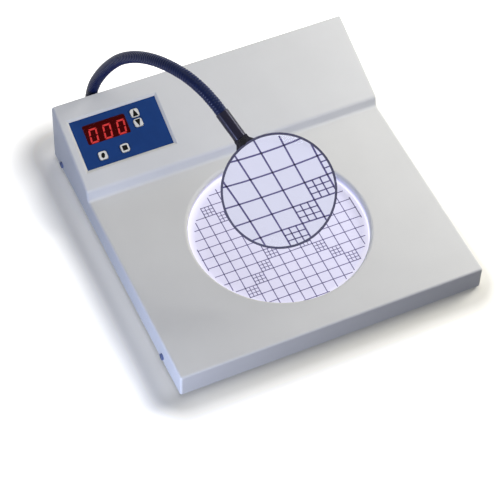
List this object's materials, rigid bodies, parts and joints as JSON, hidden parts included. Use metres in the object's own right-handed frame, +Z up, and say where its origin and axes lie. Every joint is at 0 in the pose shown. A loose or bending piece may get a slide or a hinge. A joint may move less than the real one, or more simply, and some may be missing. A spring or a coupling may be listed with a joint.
{
  "type": "digital colony counter",
  "caption": "Bench counter for bacterial colonies: low grey housing with a back-lit grid plate that presses to count, keypad and red display on a sloping panel, and a lens on a gooseneck.",
  "frame": {"origin": "on the floor, under the middle of the whole object's box", "axes": "+X to the user's right, +Y to the rear, +Z up"},
  "size_m": [0.2732, 0.29, 0.1687],
  "materials": {
    "housing_paint": "satin light grey paint",
    "tray_metal": "zinc-grey paint",
    "screw_steel": "bright zinc",
    "foot_rubber": "matt black",
    "well_plastic": "matt light grey",
    "plate_acrylic": "clear gloss over a printed grid",
    "diffuser_plastic": "opal",
    "black_plastic": "matt black",
    "circuit_board": "green solder mask",
    "white_plastic": "matt white",
    "led_plastic": "yellowish lens",
    "overlay_film": "semi-gloss blue film",
    "window_plastic": "clear dark red",
    "key_plastic": "off-white",
    "spacer_brass": "plain turned",
    "segment_plastic": "lit red",
    "transformer_wrap": "yellow tape",
    "capacitor_can": "sleeved dark blue",
    "fuse_glass": "clear",
    "contact_metal": "tinned",
    "rocker_plastic": "gloss black",
    "lead_sheath": "matt",
    "bracket_metal": "black",
    "neck_metal": "gloss blue-black sheath",
    "sleeve_plastic": "gloss black",
    "rim_plastic": "gloss black",
    "lens_glass": "clear polished"
  },
  "bodies": {
    "base": {"housing_cover": "housing_paint", "chassis_tray": "tray_metal", "rear_panel": "housing_paint", "cover_screws": "screw_steel", "rear_panel_screws": "screw_steel", "rubber_feet": "foot_rubber", "foot_screws": "screw_steel", "well_ring": "well_plastic", "plate_pads": "foot_rubber", "touch_switch": "black_plastic", "light_board": "circuit_board", "light_posts": "white_plastic", "light_leds": "led_plastic", "reflector_disc": "white_plastic", "keypad_carrier": "black_plastic", "keypad_overlay": "overlay_film", "display_window": "window_plastic", "carrier_fixings": "screw_steel", "control_board": "circuit_board", "board_posts": "spacer_brass", "board_screws": "screw_steel", "digit_blocks": "black_plastic", "digit_segments": "segment_plastic", "key_switches": "black_plastic", "buzzer": "black_plastic", "board_chips": "black_plastic", "power_board": "circuit_board", "power_posts": "spacer_brass", "power_board_screws": "screw_steel", "transformer": "transformer_wrap", "capacitors": "capacitor_can", "fuse": "fuse_glass", "fuse_clips": "contact_metal", "mains_inlet": "black_plastic", "inlet_pins": "contact_metal", "inlet_screws": "screw_steel", "switch_frame": "black_plastic", "lamp_lead": "lead_sheath", "control_lead": "lead_sheath", "mains_leads": "lead_sheath", "neck_bracket": "bracket_metal", "bracket_fixings": "screw_steel", "neck_bush": "bracket_metal", "neck_nut": "screw_steel"},
    "plate": {"grid_plate": "plate_acrylic", "diffuser": "diffuser_plastic"},
    "up_key": {"key_up": "key_plastic"},
    "down_key": {"key_down": "key_plastic"},
    "zero_key": {"key_zero": "key_plastic"},
    "set_key": {"key_set": "key_plastic"},
    "rocker": {"power_rocker": "rocker_plastic"},
    "lens_head": {"lens_sleeve": "sleeve_plastic", "lens_rim": "rim_plastic", "lens": "lens_glass", "rim_screw": "screw_steel"},
    "neck_1": {"neck_span_1": "neck_metal"},
    "neck_2": {"neck_span_2": "neck_metal"},
    "neck_3": {"neck_span_3": "neck_metal"},
    "neck_4": {"neck_span_4": "neck_metal"},
    "neck_5": {"neck_span_5": "neck_metal"}
  },
  "joints": [
    {"name": "neck_bend_1", "type": "hinge", "parent": "base", "child": "neck_1", "pos_m": [-0.0965, 0.136, 0.033], "axis": [-0.9272, -0.3746, 0], "range_deg": [-2, 20]},
    {"name": "neck_sway_1", "type": "hinge", "parent": "neck_1", "child": "neck_2", "pos_m": [-0.09301, 0.12736, 0.0772], "axis": [-0.3427, 0.8483, 0.4035], "range_deg": [-15, 15]},
    {"name": "neck_bend_2", "type": "hinge", "parent": "neck_2", "child": "neck_3", "pos_m": [-0.08458, 0.1065, 0.11666], "axis": [0.9272, 0.3746, 0], "range_deg": [-20, 12]},
    {"name": "neck_sway_2", "type": "hinge", "parent": "neck_3", "child": "neck_4", "pos_m": [-0.07227, 0.07603, 0.14773], "axis": [-0.2007, 0.4968, 0.8443], "range_deg": [-15, 15]},
    {"name": "neck_bend_3", "type": "hinge", "parent": "neck_4", "child": "neck_5", "pos_m": [-0.05638, 0.03669, 0.16313], "axis": [-0.9272, -0.3746, 0], "range_deg": [-12, 20]},
    {"name": "lens_nod", "type": "hinge", "parent": "neck_5", "child": "lens_head", "pos_m": [-0.04013, -0.00352, 0.15304], "axis": [0.9272, 0.3746, 0], "range_deg": [-20, 12]},
    {"name": "plate_press", "type": "slide", "parent": "base", "child": "plate", "axis": [0, 0, -1], "range_m": [0, 0.0004], "stiffness_N_per_m": 3000, "springref_m": -0.002, "deforming": ["plate_pads"]},
    {"name": "up_press", "type": "slide", "parent": "base", "child": "up_key", "axis": [0, 0.3551, -0.9348], "range_m": [0, 0.0005], "stiffness_N_per_m": 300, "springref_m": -0.001},
    {"name": "down_press", "type": "slide", "parent": "base", "child": "down_key", "axis": [0, 0.3551, -0.9348], "range_m": [0, 0.0005], "stiffness_N_per_m": 300, "springref_m": -0.001},
    {"name": "zero_press", "type": "slide", "parent": "base", "child": "zero_key", "axis": [0, 0.3551, -0.9348], "range_m": [0, 0.0005], "stiffness_N_per_m": 300, "springref_m": -0.001},
    {"name": "set_press", "type": "slide", "parent": "base", "child": "set_key", "axis": [0, 0.3551, -0.9348], "range_m": [0, 0.0005], "stiffness_N_per_m": 300, "springref_m": -0.001},
    {"name": "power_rock", "type": "hinge", "parent": "base", "child": "rocker", "pos_m": [0.045, 0.124, 0.033], "axis": [1, 0, 0], "range_deg": [0, 16]}
  ]
}
